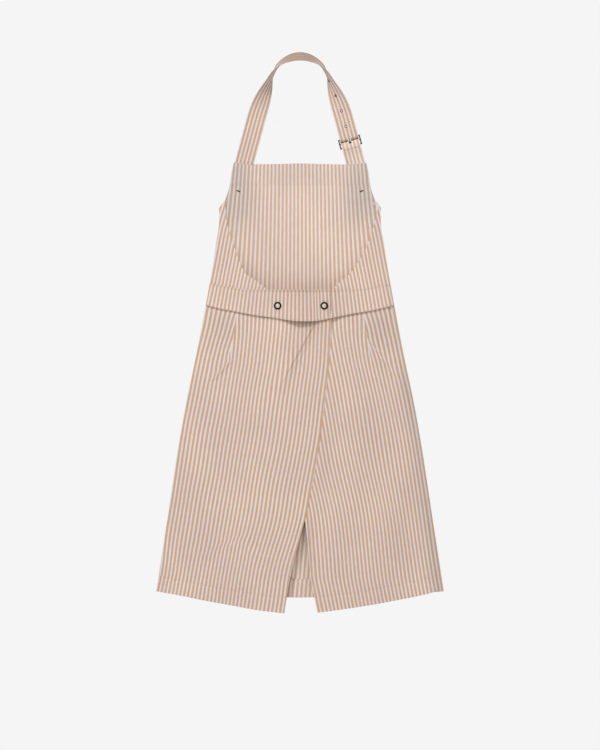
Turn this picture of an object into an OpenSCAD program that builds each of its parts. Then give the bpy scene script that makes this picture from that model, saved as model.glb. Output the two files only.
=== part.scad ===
// Halter-neck wrap apron, hanging from its neck strap.
// The origin is the underside of the strap's arch, at the middle. +Z is up, +X is to the wearer's right
// and -Y is the back of the apron, where its two wraps lap over each other and snap together.

/* [Cloth] */
// Thickness of one layer of cloth, seams and folds taken in
cloth = 1.2; // [0.8:0.1:1.4]
// Air between layers that lie on each other
air = 0.3; // [0.2:0.05:0.5]

/* [Neck strap] */
// Width of the neck strap
strap_w = 38; // [30:1:40]
// Height from the bib's top corners up to the underside of the arch
strap_drop = 206.5; // [200:0.5:215]
// How far the band turns over between the legs and the arch, in degrees
strap_turn = 119; // [95:1:125]
// Distance between neighbouring eyelets
eyelet_pitch = 32.5; // [28:0.5:36]
// Outer diameter of an eyelet
eyelet_d = 5.6; // [4.5:0.1:7]

/* [Buckle] */
// Gauge of the buckle's wire
buckle_wire = 2.4; // [2:0.1:2.8]
// Length of the buckle along the strap
buckle_l = 20; // [18:0.5:24]

/* [Body] */
// Half of the bib's width at its top edge
bib_half = 132; // [120:1:140]
// Depth of the facing behind the bib's top edge
facing_h = 40; // [30:1:60]
// Half of the width where the side seams start
arm_half = 157.5; // [150:0.5:165]
// Half of the width at the hem
hem_half = 288; // [270:1:300]
// Width of the hem's fold
hem_h = 32; // [20:1:50]

/* [Back] */
// Depth of the scooped low back below the side seams' upper ends
scoop_h = 181; // [160:1:182]
// Width of the facing along each scooped edge
scoop_facing = 24; // [15:1:35]
// Distance between the two snaps
snap_gap = 93; // [70:1:100]
// Outer diameter of a snap's ring
snap_d = 15.4; // [12:0.1:18]

/* [Hidden] */
// Heights of the apron's levels
arm_z = -293;
waist_z = -458;
hem_z = -1060;
front_hem_z = -1072;
front_hem_rise = 12;
wrap_hem_z = -1104;
belt_low = -520.5;
belt_rise = 32;
belt_half = 187;
bib_top_bow = 3;
bow_half = 88;

// Cloth drapes as shallow cylinders whose axes lean, so the apron is deepest at its hem
front_r = 1450;
front_arm = 9.2;
front_lean = 1.466;
under_r = 2307;
under_arm = 5.1;
under_lean = 1.06;
under_x = 11.8;
hem_fold = 0.8;
gap = 0.6;
deep = 160;
tall = 1400;
smooth = 256;
fine = 48;

// Strap: an arc over the neck, a wide arc to each leg, and a straight leg
arch_r = 54;
arch_a = 60;
side_r = 416;
side_a = 15;
arch_z = 9.3;
arch_l = arch_r * arch_a * PI / 180;
side_l = side_r * side_a * PI / 180;
turn_l = 185;
leg_a = arch_a + side_a;
arch_end = [arch_r * sin(arch_a), arch_z - arch_r * (1 - cos(arch_a))];
side_end = arch_end + side_r * [sin(leg_a) - sin(arch_a), cos(leg_a) - cos(arch_a)];
strap_end_z = -strap_drop + 0.9;
leg_l = (side_end[1] - strap_end_z) / sin(leg_a);
strap_l = arch_l + side_l + leg_l;
strap_y = 1.6;

// The right leg's buckle, whose centre bar is buckle_s along the strap from the arch
buckle_s = strap_l - 45;
bar_r = buckle_wire / 2;
strap_half = cloth / 2;
buckle_play = 1.1;
back_y = bar_r + buckle_play + strap_half;
tail_l = 35;
buckle_side = strap_w / 2 + 2.3;
bar_to_bar = buckle_l / 2 - bar_r;
fold_r = bar_r + 0.3;
tail_y = fold_r + cloth + air + strap_half;
dive_from = buckle_s - bar_to_bar;
dive_to = buckle_s - 0.6;
notch_w = 4.4;
tongue_r = 0.8;

// Fittings
snap_ring = 2.1;
snap_post_r = 2.0;
socket_r = 5.2;
socket_h = 1.3;
snap_seat = 0.15;
snap_z = -489.7;
snap_x = 1.9;
stud_r = 2.1;
tack_l = 7.5;
tack_h = 1.9;

// ---- Strap path -------------------------------------------------------------------------------

// Slope of the strap from level at a distance s from the arch's middle
function slope(s) = s < arch_l ? s / arch_r * 180 / PI
    : s < arch_l + side_l ? arch_a + (s - arch_l) / side_r * 180 / PI
    : leg_a;

// Place of the strap's middle, x and z, at a distance s from the arch's middle
function middle(s) = s < arch_l ? [arch_r * sin(slope(s)), arch_z - arch_r * (1 - cos(slope(s)))]
    : s < arch_l + side_l
        ? arch_end + side_r * [sin(slope(s)) - sin(arch_a), cos(slope(s)) - cos(arch_a)]
    : side_end + (s - arch_l - side_l) * [cos(leg_a), -sin(leg_a)];

function turn(s) = s < turn_l ? strap_turn * (1 + cos(180 * s / turn_l)) / 2 : 0;
function ease(t) = t < 0 ? 0 : t > 1 ? 1 : (1 - cos(180 * t)) / 2;

// The long strap lies behind the buckle's top bar and dives past the centre bar to the front
function leg_y(s) = strap_y * ease((s - arch_l) / side_l);
function dive_y(s) = leg_y(s) - back_y * ease((s - buckle_s + 60) / 45)
    + (back_y + tail_y) * ease((s - dive_from) / (dive_to - dive_from));

// Outline of the strap's section, its corners and the middles of its two broad faces, on side 1 for
// the right leg and -1 for the left
function across(s, side) = [
    -side * cos(turn(s)) * sin(slope(s)), sin(turn(s)), -cos(turn(s)) * cos(slope(s))
];
function along(s, side, rise) = let (v = [side * cos(slope(s)), rise, -sin(slope(s))]) v / norm(v);
function section(s, side, y, rise) = let (
    w = across(s, side) * strap_w / 2,
    n = cross(along(s, side, rise), across(s, side)) * strap_half,
    c = [side * middle(s)[0], y, middle(s)[1]]
) [c + w + side * n, c + w - side * n, c - side * n, c - w - side * n, c - w + side * n, c + side * n];

function left_section(s) = section(s, -1, leg_y(s), 0);
function right_section(s) = section(s, 1, dive_y(s), dive_y(s + 0.5) - dive_y(s - 0.5));

// Skin over a run of sections
module ribbon(sections) {
    n = len(sections);
    k = len(sections[0]);
    // Both broad faces are split along the same diagonals, so that a twist keeps them apart
    skin = [for (i = [0:n - 2]) for (j = [0:k - 1])
        let (a = k * i + j, b = k * i + (j + 1) % k, c = b + k, d = a + k)
            j < k / 2 ? [[a, b, c], [a, c, d]] : [[a, b, d], [b, c, d]]];
    polyhedron(
        points = [for (s = sections) each s],
        faces = concat(
            [for (q = skin) each q],
            [[for (j = [k - 1:-1:0]) j]],
            [[for (j = [0:k - 1]) k * (n - 1) + j]]
        )
    );
}

// Frame on the right leg's strap at s: x runs across it, y away from the wearer's back and z up it
module on_strap(s, y = 0) {
    translate([middle(s)[0], y, middle(s)[1]])
        rotate([0, -(90 - slope(s)), 0])
            children();
}

// The same, turned over with the band where it twists into the arch
module on_band(s) {
    on_strap(s, dive_y(s))
        rotate([0, 0, -turn(s)])
            children();
}

// ---- Body outlines ----------------------------------------------------------------------------

function seam_x(z) = arm_half + (hem_half - arm_half) * (arm_z - z) / (arm_z - hem_z) - gap;
function belt_bottom(x) = belt_low + belt_rise * pow(x / belt_half, 2);
function belt_top(x) = waist_z + 12 * pow(x / belt_half, 2);
function bib_top(x) = -strap_drop - 0.5 + bib_top_bow * max(0, 1 - pow(x / bow_half, 2));
function wrap_edge_x(z) = 62 - 94 * pow((belt_low - z) / (belt_low - wrap_hem_z), 1.45);
function scoop(a, out = 0) = [(148.5 + out) * cos(a), arm_z + 3 - (scoop_h + out) * sin(a)];

// An outline drawn in x and z, made solid from front to back
module slab(points) {
    rotate([90, 0, 0])
        linear_extrude(height = deep, center = true)
            polygon(points);
}

// A layer of the front, lift outside the cloth's own surface
module front_layer(lift, thick = cloth) {
    translate([0, front_arm - front_r, arm_z])
        rotate([front_lean, 0, 0])
            difference() {
                cylinder(r = front_r + lift + thick, h = tall * 1.5, center = true, $fn = smooth);
                cylinder(r = front_r + lift, h = tall * 1.5 + 2, center = true, $fn = smooth);
            }
}

// A layer of the left, outer wrap
module over_layer(lift, thick = cloth) {
    mirror([0, 1, 0])
        front_layer(lift, thick);
}

// A layer of the right, inner wrap, which lies flatter so that it passes under the other
module under_layer(lift, thick = cloth) {
    translate([under_x, under_r - under_arm, arm_z])
        rotate([-under_lean, 0, 0])
            difference() {
                cylinder(r = under_r + lift + thick, h = tall * 1.5, center = true, $fn = smooth);
                cylinder(r = under_r + lift, h = tall * 1.5 + 2, center = true, $fn = smooth);
            }
}

// Everything between the two side seams, less a margin at each
module between_seams(margin = 0) {
    slab([
        [margin - seam_x(0), 0], [margin - seam_x(-1200), -1200],
        [seam_x(-1200) - margin, -1200], [seam_x(0) - margin, 0]
    ]);
}

// The strip along the front hem where the cloth is turned up
module hem_strip(low, rise) {
    slab([
        [-hem_half, low - 9], [hem_half, low - 9],
        [hem_half, low + rise + hem_h], [0, low + hem_h], [-hem_half, low + rise + hem_h]
    ]);
}

// The same along the left wrap's hem, which slopes down to its tip at x
module wrap_hem_strip(x) {
    slab([
        [-hem_half, hem_z - 60], [x, wrap_hem_z - 60],
        [x + 20, wrap_hem_z + hem_h - 4], [x, wrap_hem_z + hem_h], [-hem_half, hem_z + hem_h]
    ]);
}

module bib_outline() {
    slab(concat(
        [for (i = [-6:6]) [i * bib_half / 6, bib_top(i * bib_half / 6)]],
        [[137, -222], [141, -250], [149, -277], [arm_half - gap, arm_z]],
        [[seam_x(-440), -440]],
        [for (x = [160:-40:-160]) [x, belt_top(x) - 3]],
        [[-seam_x(-440), -440], [-(arm_half - gap), arm_z]],
        [[-149, -277], [-141, -250], [-137, -222]]
    ));
}

module belt_outline(from, to) {
    slab(concat(
        [for (i = [0:10]) let (x = from + (to - from) * i / 10) [x, belt_top(x)]],
        [for (i = [10:-1:0]) let (x = from + (to - from) * i / 10) [x, belt_bottom(x)]]
    ));
}

module yoke_outline() {
    slab(concat(
        [[seam_x(-445), -446], [seam_x(arm_z), arm_z], [150, -277]],
        [for (a = [0:10:60]) scoop(a)],
        [[scoop(69)[0], belt_top(scoop(69)[0]) - 3], [120, belt_top(120) - 3]]
    ));
}

module scoop_strip() {
    slab(concat(
        [for (a = [4:9:67]) scoop(a)],
        [for (a = [67:-9:4]) scoop(a, scoop_facing)]
    ));
}

// ---- Neck strap and buckle, which stay with the peg --------------------------------------------

module neck_strap() {
    left = [for (i = [0:52]) left_section((strap_l + 8) * (1 - i / 52))];
    right_top = [for (i = [1:46]) right_section((buckle_s - 60) * i / 46)];
    right_leg = [for (s = [-54:6:-12]) right_section(buckle_s + s)];
    dive = [for (s = [-11:1:2]) right_section(buckle_s + s)];
    tail = [for (i = [1:3]) right_section(buckle_s + 2 + (tail_l - 2) * i / 3)];
    // resize() at no change keeps the twisted ribbon and its holes one faceted skin
    color("tan")
        resize([0, 0, 0])
            difference() {
                ribbon(concat(left, right_top, right_leg, dive, tail));
                for (i = [1:4])
                    on_band(buckle_s - i * eyelet_pitch)
                        rotate([90, 0, 0])
                            cylinder(d = eyelet_d - 1.2, h = 6, center = true, $fn = 24);
                on_strap(buckle_s - 3.2, strap_y)
                    cube([notch_w, 12, 8], center = true);
                translate([-200, -deep / 2, strap_end_z - 50])
                    cube([200, deep, 50]);
            }
}

// One flanged ring in each free hole
module strap_eyelets() {
    color("gray")
        for (i = [1:4])
            on_band(buckle_s - i * eyelet_pitch)
                rotate([90, 0, 0])
                    difference() {
                        union() {
                            cylinder(d = eyelet_d - 1.3, h = cloth + 1.2, center = true, $fn = 24);
                            for (side = [-1, 1])
                                translate([0, 0, side * (strap_half + 0.45)])
                                    cylinder(d = eyelet_d, h = 0.4, center = true, $fn = 24);
                        }
                        cylinder(d = eyelet_d - 2.9, h = 6, center = true, $fn = 24);
                    }
}

// Side view of the short strap: a loop round the centre bar, whose two plies pass behind the bottom
// bar and come back to the leg's own line, with x for the distance from the back and y up the strap
module buckle_loop() {
    ply_out = back_y + strap_half + cloth;
    ply_in = back_y - strap_half;
    difference() {
        union() {
            circle(r = fold_r + cloth, $fn = fine);
            polygon([
                [-fold_r - cloth + 0.1, 0.8], [-ply_out, -5], [-ply_out, -14], [-cloth, -25],
                [strap_half, -25], [strap_half, -20], [-ply_in, -13], [-ply_in, -5.5],
                [0, -fold_r - 0.8], [0, 0]
            ]);
        }
        circle(r = fold_r, $fn = fine);
    }
}

module buckle_strap() {
    leg = (middle(buckle_s)[1] - strap_end_z) / sin(leg_a);
    color("tan") {
        on_strap(buckle_s, strap_y)
            difference() {
                rotate([90, 0, 90])
                    linear_extrude(height = strap_w, center = true)
                        buckle_loop();
                translate([0, 0, 1])
                    cube([notch_w, 12, 8.4], center = true);
            }
        strap_tab(leg);
    }
}

// Straight end of the short strap, down to the bib
module strap_tab(leg) {
    intersection() {
        on_strap(buckle_s, strap_y)
            translate([-strap_w / 2, -strap_half, -leg - 20])
                cube([strap_w, cloth, leg - 1]);
        translate([0, -deep / 2, strap_end_z])
            cube([200, deep, 200]);
    }
}

module buckle_strap_stitching() {
    color("linen")
        on_strap(buckle_s, strap_y)
            for (row = [-11.5, -13.5])
                translate([-strap_w / 2 + 2, -back_y - strap_half - cloth - 0.45, row])
                    cube([strap_w - 4, 0.4, 0.8]);
}

// Rectangular frame of bent wire with the centre bar that the short strap folds round
module buckle_frame() {
    color("dimgray")
        on_strap(buckle_s, strap_y) {
            for (z = [-bar_to_bar, 0, bar_to_bar])
                translate([0, 0, z])
                    rotate([0, 90, 0])
                        cylinder(r = bar_r, h = 2 * buckle_side, center = true, $fn = fine);
            for (side = [-1, 1])
                translate([side * buckle_side, 0, 0]) {
                    cylinder(r = bar_r, h = 2 * bar_to_bar, center = true, $fn = fine);
                    for (z = [-bar_to_bar, bar_to_bar])
                        translate([0, 0, z])
                            sphere(r = bar_r, $fn = fine);
                }
        }
}

// Tongue that turns on the centre bar and rests on the top bar
module buckle_tongue() {
    color("dimgray")
        on_strap(buckle_s, strap_y) {
            rotate([0, 90, 0])
                difference() {
                    cylinder(r = bar_r + 1.3, h = 3, center = true, $fn = fine);
                    cylinder(r = bar_r + 0.06, h = 4, center = true, $fn = fine);
                }
            translate([0, bar_r + tongue_r + 0.05, 0])
                cylinder(r = tongue_r, h = bar_to_bar + 1.4, $fn = fine);
        }
}

// ---- Front ------------------------------------------------------------------------------------

module bib_panel() {
    color("wheat")
        intersection() {
            bib_outline();
            front_layer(0);
        }
}

module bib_top_facing() {
    color("wheat")
        intersection() {
            bib_outline();
            slab([[-200, -150], [200, -150], [200, -strap_drop - facing_h], [-200, -strap_drop - facing_h]]);
            front_layer(-cloth - air);
        }
}

module bib_bar_tacks() {
    color("black")
        intersection() {
            union() {
                for (side = [-1, 1])
                    translate([side * 123.5, 0, -260])
                        rotate([0, side * -18, 0])
                            cube([tack_l, deep, tack_h], center = true);
            }
            front_layer(-0.75, 0.7);
        }
}

module front_waistband() {
    color("wheat")
        intersection() {
            belt_outline(-belt_half - 6, belt_half + 6);
            between_seams();
            front_layer(cloth + air);
        }
}

module front_skirt() {
    color("wheat")
        intersection() {
            slab(concat(
                [for (x = [-160:40:160]) [x, belt_top(x) - 3.6]],
                [[seam_x(-462), -462], [seam_x(hem_z), hem_z]],
                [for (x = [240:-60:-240]) [x, front_hem_z + front_hem_rise * pow(x / hem_half, 2)]],
                [[-seam_x(hem_z), hem_z], [-seam_x(-462), -462]]
            ));
            union() {
                front_layer(0);
                intersection() {
                    hem_strip(front_hem_z, front_hem_rise);
                    between_seams(14);
                    front_layer(-hem_fold, 1);
                }
            }
        }
}

// ---- Left wrap, which laps over the right one ---------------------------------------------------

module left_back_yoke() {
    color("tan")
        intersection() {
            mirror([1, 0, 0])
                yoke_outline();
            over_layer(0);
        }
}

module left_yoke_facing() {
    color("wheat")
        intersection() {
            mirror([1, 0, 0])
                yoke_outline();
            mirror([1, 0, 0])
                scoop_strip();
            between_seams(14);
            over_layer(-cloth - air);
        }
}

module left_waistband() {
    color("tan")
        difference() {
            intersection() {
                belt_outline(-belt_half - 6, 61);
                between_seams();
                over_layer(cloth + air);
            }
            snap_holes(true);
        }
}

module left_skirt_wrap() {
    color("tan")
        difference() {
            intersection() {
                slab(concat(
                    [for (x = [-160:40:40]) [x, belt_top(x) - 3.6]],
                    [[60, waist_z - 3]],
                    [for (i = [0:8]) let (z = belt_low + (wrap_hem_z - belt_low) * i / 8) [wrap_edge_x(z), z]],
                    [[-seam_x(hem_z), hem_z], [-seam_x(-462), -462]]
                ));
                union() {
                    over_layer(0);
                    intersection() {
                        wrap_hem_strip(-32);
                        between_seams(14);
                        over_layer(-hem_fold, 1);
                    }
                }
            }
            snap_holes(true);
        }
}

// ---- Right wrap, which passes underneath --------------------------------------------------------

module right_back_yoke() {
    color("peru")
        intersection() {
            yoke_outline();
            under_layer(0);
        }
}

module right_yoke_facing() {
    color("wheat")
        intersection() {
            yoke_outline();
            scoop_strip();
            between_seams(14);
            under_layer(-cloth - air);
        }
}

module right_waistband() {
    color("peru")
        difference() {
            intersection() {
                belt_outline(-64, belt_half + 6);
                between_seams();
                under_layer(cloth + air);
            }
            snap_holes(false);
        }
}

module right_skirt_wrap() {
    color("peru")
        difference() {
            intersection() {
                slab(concat(
                    [for (x = [-60:40:140]) [x, belt_top(x) - 3.6]],
                    [[seam_x(-464), -464], [seam_x(hem_z), hem_z + 4]],
                    [[36, wrap_hem_z], [24, -1078], [10, -914], [-64, belt_low]]
                ));
                union() {
                    under_layer(0);
                    intersection() {
                        mirror([1, 0, 0])
                            wrap_hem_strip(-36);
                        between_seams(14);
                        under_layer(-hem_fold, 1);
                    }
                }
            }
            snap_holes(false);
        }
}

// ---- Snap fasteners -------------------------------------------------------------------------------

// Depth of each wrap's cloth at a snap
function bulge(x, z, arm, lean, r) =
    arm + (arm_z - z) * tan(lean) + r * (1 / cos(lean) - 1) - x * x / (2 * r);

// Puts its children at each snap on a wrap's inner surface, with their z running out of the back
module at_snaps(outer) {
    for (side = [-1, 1]) {
        x = snap_x + side * snap_gap / 2;
        y = outer ? bulge(x, snap_z, front_arm, front_lean, front_r)
            : bulge(x - under_x, snap_z, under_arm, under_lean, under_r);
        lean = outer ? front_lean : under_lean;
        face = outer ? asin(x / front_r) : asin((x - under_x) / under_r);
        translate([x, -y, snap_z])
            rotate([90 - lean, 0, face])
                children();
    }
}

// Holes through a wrap's layers for the snaps' posts
module snap_holes(outer) {
    at_snaps(outer)
        cylinder(r = snap_post_r + 0.05, h = 20, center = true, $fn = fine);
}

// Dark rim on the outside of the left band
module snap_rings() {
    color("dimgray")
        at_snaps(true)
            translate([0, 0, 2 * cloth + air + 0.4])
                rotate_extrude($fn = fine) {
                    translate([snap_d / 2 - snap_ring / 2, 0.85])
                        circle(d = snap_ring, $fn = 24);
                    translate([snap_d / 2 - snap_ring, 0])
                        square([snap_ring * 0.75, 0.6]);
                }
}

// Pale domed centre held by the rim, with the post that goes through the cloth
module snap_caps() {
    dome_r = 16;
    seat = snap_d / 2 - snap_ring - 0.05;
    color("ivory")
        at_snaps(true) {
            translate([0, 0, 2 * cloth + air + 0.4])
                intersection() {
                    cylinder(r = seat, h = 4, $fn = fine);
                    translate([0, 0, 1.5 - dome_r])
                        sphere(r = dome_r, $fn = fine);
                }
            translate([0, 0, -0.45])
                cylinder(r = snap_post_r, h = 2 * cloth + air + 1.05, $fn = fine);
        }
}

// Socket on the inside of the left wrap
module snap_sockets() {
    color("silver")
        at_snaps(true)
            translate([0, 0, -socket_h - snap_seat])
                difference() {
                    cylinder(r = socket_r, h = socket_h, $fn = fine);
                    translate([0, 0, -1])
                        cylinder(r = stud_r + 0.75, h = 1.95, $fn = fine);
                    cylinder(r = snap_post_r + 0.05, h = 3, $fn = fine);
                }
}

// Stud on the outside of the right band, whose knob enters the socket
module snap_studs() {
    color("silver")
        at_snaps(false)
            translate([0, 0, 2 * cloth + air + snap_seat]) {
                cylinder(r = socket_r, h = 0.4, $fn = fine);
                cylinder(r1 = stud_r, r2 = stud_r - 0.4, h = 1.5, $fn = fine);
                translate([0, 0, -2 * cloth - air - 1.2])
                    cylinder(r = snap_post_r - 0.2, h = 2 * cloth + air + 1.4, $fn = fine);
            }
}

// Ring that clenches the stud's post on the inside of the right wrap
module snap_stud_rings() {
    color("dimgray")
        at_snaps(false)
            translate([0, 0, -1.1])
                difference() {
                    cylinder(r = socket_r - 0.4, h = 0.9, $fn = fine);
                    translate([0, 0, -1])
                        cylinder(r = snap_post_r, h = 3, $fn = fine);
                }
}

neck_strap();
strap_eyelets();
buckle_strap();
buckle_strap_stitching();
buckle_frame();
buckle_tongue();
bib_panel();
bib_top_facing();
bib_bar_tacks();
front_waistband();
front_skirt();
left_back_yoke();
left_yoke_facing();
left_waistband();
left_skirt_wrap();
right_back_yoke();
right_yoke_facing();
right_waistband();
right_skirt_wrap();
snap_rings();
snap_caps();
snap_sockets();
snap_studs();
snap_stud_rings();
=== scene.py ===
"""Looks of the halter-neck wrap apron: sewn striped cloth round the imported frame.

Lengths are in millimetres, and meshes are scaled to metres when they are made.
"""

import math

import bpy
import numpy as np
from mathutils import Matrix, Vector


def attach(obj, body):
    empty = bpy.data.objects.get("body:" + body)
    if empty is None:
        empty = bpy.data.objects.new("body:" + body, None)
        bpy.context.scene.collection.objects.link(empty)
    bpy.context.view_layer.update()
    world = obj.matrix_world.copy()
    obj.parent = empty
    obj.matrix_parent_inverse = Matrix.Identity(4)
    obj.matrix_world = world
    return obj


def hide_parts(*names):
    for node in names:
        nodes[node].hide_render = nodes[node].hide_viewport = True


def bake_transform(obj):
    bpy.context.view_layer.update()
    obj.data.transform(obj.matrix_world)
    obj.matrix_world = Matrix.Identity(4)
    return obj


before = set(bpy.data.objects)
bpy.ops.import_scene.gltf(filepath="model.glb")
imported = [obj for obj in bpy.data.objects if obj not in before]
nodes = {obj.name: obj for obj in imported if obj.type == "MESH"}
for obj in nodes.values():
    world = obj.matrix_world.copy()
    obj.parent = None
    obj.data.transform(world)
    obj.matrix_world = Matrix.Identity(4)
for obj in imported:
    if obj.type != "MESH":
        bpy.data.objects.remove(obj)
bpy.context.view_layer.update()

MM = 0.001
# The way a sheet's first side faces
BACK, FRONT = -1, 1

# ---- Sizes shared with the CAD ----
ARM_Z, WAIST_Z, FRONT_HEM_Z = -293.0, -458.0, -1072.0
BIB_TOP = -207.0
FACING_LOW = BIB_TOP - 40.0
# Heights of the turned hems, width of the yokes' facings, and the turning at the wraps' free edges
HEM_H, FRONT_HEM_H, SCOOP_FACING, EDGE_TURN = 32.0, 37.0, 24.0, 9.0
# Free ends of the two back bands and the middle of where they lap, and the two snaps
BAND_END_LEFT, BAND_END_RIGHT, LAP_MID = 61.0, -64.0, 2.0
SNAP_X, SNAP_Z = (-44.6, 48.4), -489.7
SNAP_MID, SNAP_HALF = (SNAP_X[0] + SNAP_X[1]) / 2, (SNAP_X[1] - SNAP_X[0]) / 2
# A dart's share of the way in from the side seam, its tip, and the width and height of a wrap's skirt
DART_U, DART_TIP_Z, SKIRT_W, SKIRT_H = 0.262, -606.0, 253.0, 640.0
# Depth at the armholes, lean in degrees and radius of curvature, of the outer layers and the right wrap
OUTER_BULGE, UNDER_BULGE, UNDER_X = (9.2, 1.466, 1450.0), (5.1, 1.06, 2307.0), 11.8
# How far the front, the wraps, the back bands and the front one lie out, and their depths at the side seam
FRONT_OUT, WRAP_OUT, BAND_OUT, FRONT_BAND_OUT = 0.55, 0.6, 2.05, 2.1
FRONT_SEAM, WRAP_SEAM, BAND_SEAM, FRONT_BAND_SEAM = 0.55, 0.05, 1.2, 1.3
# A tan and a white stripe together, half the thickness of cloth, and how far stitches stand off its middle
PERIOD, PLY = 7.5, 0.26
# The same half for the facings and for the folded bands
FACING_PLY, BAND_PLY = 0.2, 0.62
RAISE = PLY + 0.06


def curve(points):
    """Smooth function through (x, y) points, straight beyond both ends."""
    k = np.array(sorted(points), float)
    xs, ys = k[:, 0], k[:, 1]
    # Harmonic means of the neighbouring slopes never overshoot the points
    rise = np.diff(ys) / np.diff(xs)
    before, after = rise[:-1], rise[1:]
    same = before * after > 0
    means = 2 * before * after / np.where(same, before + after, 1)
    slopes = np.concatenate([rise[:1], np.where(same, means, 0), rise[-1:]])

    def at(x):
        x = np.asarray(x, float)
        i = np.clip(np.searchsorted(xs, x) - 1, 0, len(xs) - 2)
        h = xs[i + 1] - xs[i]
        f = np.clip((x - xs[i]) / h, 0, 1)
        a = (2 * f**3 - 3 * f**2 + 1) * ys[i] + (3 * f**2 - 2 * f**3) * ys[i + 1]
        b = (f**3 - 2 * f**2 + f) * h * slopes[i] + (f**3 - f**2) * h * slopes[i + 1]
        past = np.minimum(x - xs[0], 0) * slopes[0] + np.maximum(x - xs[-1], 0) * slopes[-1]
        return a + b + past

    return at


def ease(f):
    f = np.clip(f, 0, 1)
    return f * f * (3 - 2 * f)


def bell(d, width, power=2):
    """1 at the distance 0, falling away on both sides."""
    return np.exp(-((d / width) ** power))


def fall(d, reach):
    """1 up to the distance 0, fading beyond it."""
    return np.exp(-np.maximum(d, 0) / reach)


def wave(d, length):
    return np.sin(d * math.tau / length)


# Half of the width at each height, down the bib's sides and then the side seams
half_width = curve(
    [(-204, 132.4), (-222, 136.6), (-250, 141), (-277, 149.5), (-290, 157.5), (-293.5, 162), (-306, 161.3),
     (-320, 161.6), (-340, 163.5), (-358, 167), (-378, 169.8), (-400, 173), (-458, 183), (-518, 194),
     (-598, 209.5), (-678, 226.5), (-758, 241), (-838, 253.5), (-918, 265.5), (-998, 278), (-1060, 287.4),
     (-1110, 295)]
)
bib_top = curve(
    [(-134, -202.8), (-94, -206.3), (-40, -205.5), (0, -204.5), (40, -205.5), (94, -206.6), (134, -203.4)]
)
band_top = curve(
    [(-190, -444), (-150, -450.5), (-104, -457.5), (0, -457.5), (104, -457.5), (150, -450.5), (190, -444)]
)
band_bottom = curve(
    [(-190, -488), (-164, -494.6), (-136, -500), (-100, -507), (-72, -511.2), (-44, -515), (-25, -518.4),
     (-2, -520.8), (19, -521), (40, -519.2), (56, -516), (96, -507.4), (146, -498.6), (190, -488)]
)
left_hem = curve([(-292, -1059), (-240, -1068), (-192, -1077.5), (-134, -1088), (-82, -1097), (-30, -1103)])
right_hem = curve([(292, -1054), (246, -1067), (190, -1078), (134, -1088), (70, -1097.5), (34, -1102)])
left_edge = curve(
    [(-455, 61.5), (-518, 62), (-600, 58), (-642, 54), (-706, 46), (-804, 32), (-866, 20), (-914, 10),
     (-975, -6), (-1028, -19), (-1078, -28), (-1110, -33)]
)
right_edge = curve(
    [(-455, -64), (-520, -64), (-640, -46), (-800, -14), (-914, 10), (-988, 18), (-1033, 21.4),
     (-1056, 26), (-1079, 30.6), (-1110, 36.8)]
)


def near_seam(x, z, reach=26.0):
    """0 at the side seams, rising to 1 at that distance from them."""
    return ease((half_width(z) - np.abs(x)) / reach)


def below_band(x, z, reach=30.0):
    """0 under the waistband, rising to 1 at that distance below it."""
    return ease((band_bottom(x) - 3 - z) / reach)


def to_seam(out, x, z, reach, seam_depth):
    """A depth that goes over to the side seam's own within that distance of the seam."""
    seam = near_seam(x, z, reach)
    return out * seam + seam_depth * (1 - seam)


# ---- Relief of the cloth ----

# The sharp crease that runs down from the band on the left wrap, and a soft kink low on the same wrap
PULL = (32, -524), (-50, -672)
JOG = (-108, -937), (-222, -990)
# Folds that carry each dart on from its tip, down towards the side seam
TIP_FOLDS = {-1: ((-134, -598), (-190, -656)), 1: ((128, -552), (216, -664))}
# Irregular relief of each layer: seed, wavelength, height, and how far it is drawn out along z
RIPPLES = {
    "front": ((11, 150, 0.9, 2.2), (12, 46, 0.16, 1.6)),
    "left": ((21, 170, 1.1, 2.4), (22, 52, 0.22, 2.0)),
    "right": ((31, 160, 1.0, 2.4), (32, 50, 0.22, 2.0)),
    "yoke": ((41, 80, 0.7, 2.0), (42, 30, 0.14)),
}
# Creases of each layer: from, to, width, height, and the step that tilts a crease into a soft fold
CREASES = {
    "front": (((86, -430), (66, -452), 7, 1.2), ((-120, -300), (-96, -380), 14, -0.8)),
    "left": (
        (*PULL, 4.2, 1.7, -3.0), ((-10, -596), (-60, -684), 9, 1.0, -1.3),
        ((-136, -604), (-184, -650), 8, 0.8, 1.1), ((-96, -700), (-170, -880), 22, 1.6),
        ((-20, -760), (-84, -1010), 26, 1.5), ((-196, -800), (-250, -1040), 20, 1.3),
    ),
    "right": (
        ((60, -528), (96, -548), 5, 1.0, 1.2), ((132, -560), (246, -820), 12, 1.2, 1.8),
        ((176, -824), (266, -968), 12, 1.1, 1.7), ((60, -700), (140, -930), 24, 1.5),
    ),
    "yoke": (),
}


def ripple(x, z, seed, length, amount, tall=1.0):
    rng = np.random.default_rng(seed)
    total = np.zeros_like(x + z)
    for _ in range(7):
        a, phase, w = rng.uniform(0, math.pi), rng.uniform(0, math.tau), length * rng.uniform(0.65, 1.6)
        total += np.sin((x * math.cos(a) + z * math.sin(a) / tall) * math.tau / w + phase)
    return amount * total / 2.6


def beside(x, z, a, b):
    """Distance to the side of the line from a to b, and a weight that fades at both of its ends."""
    (ax, az), (bx, bz) = a, b
    dx, dz = bx - ax, bz - az
    length = math.hypot(dx, dz)
    along = ((x - ax) * dx + (z - az) * dz) / length
    side = ((x - ax) * dz - (z - az) * dx) / length
    return side, ease(along / (0.18 * length) + 0.3) * ease((length - along) / (0.55 * length))


def crease(x, z, a, b, width, amount, step=0.0):
    side, fade = beside(x, z, a, b)
    return fade * bell(side, width) * (amount + step * side / width)


def relief(x, z, layer):
    rough = sum(ripple(x, z, *row) for row in RIPPLES[layer])
    return rough + sum(crease(x, z, *row) for row in CREASES[layer])


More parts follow.
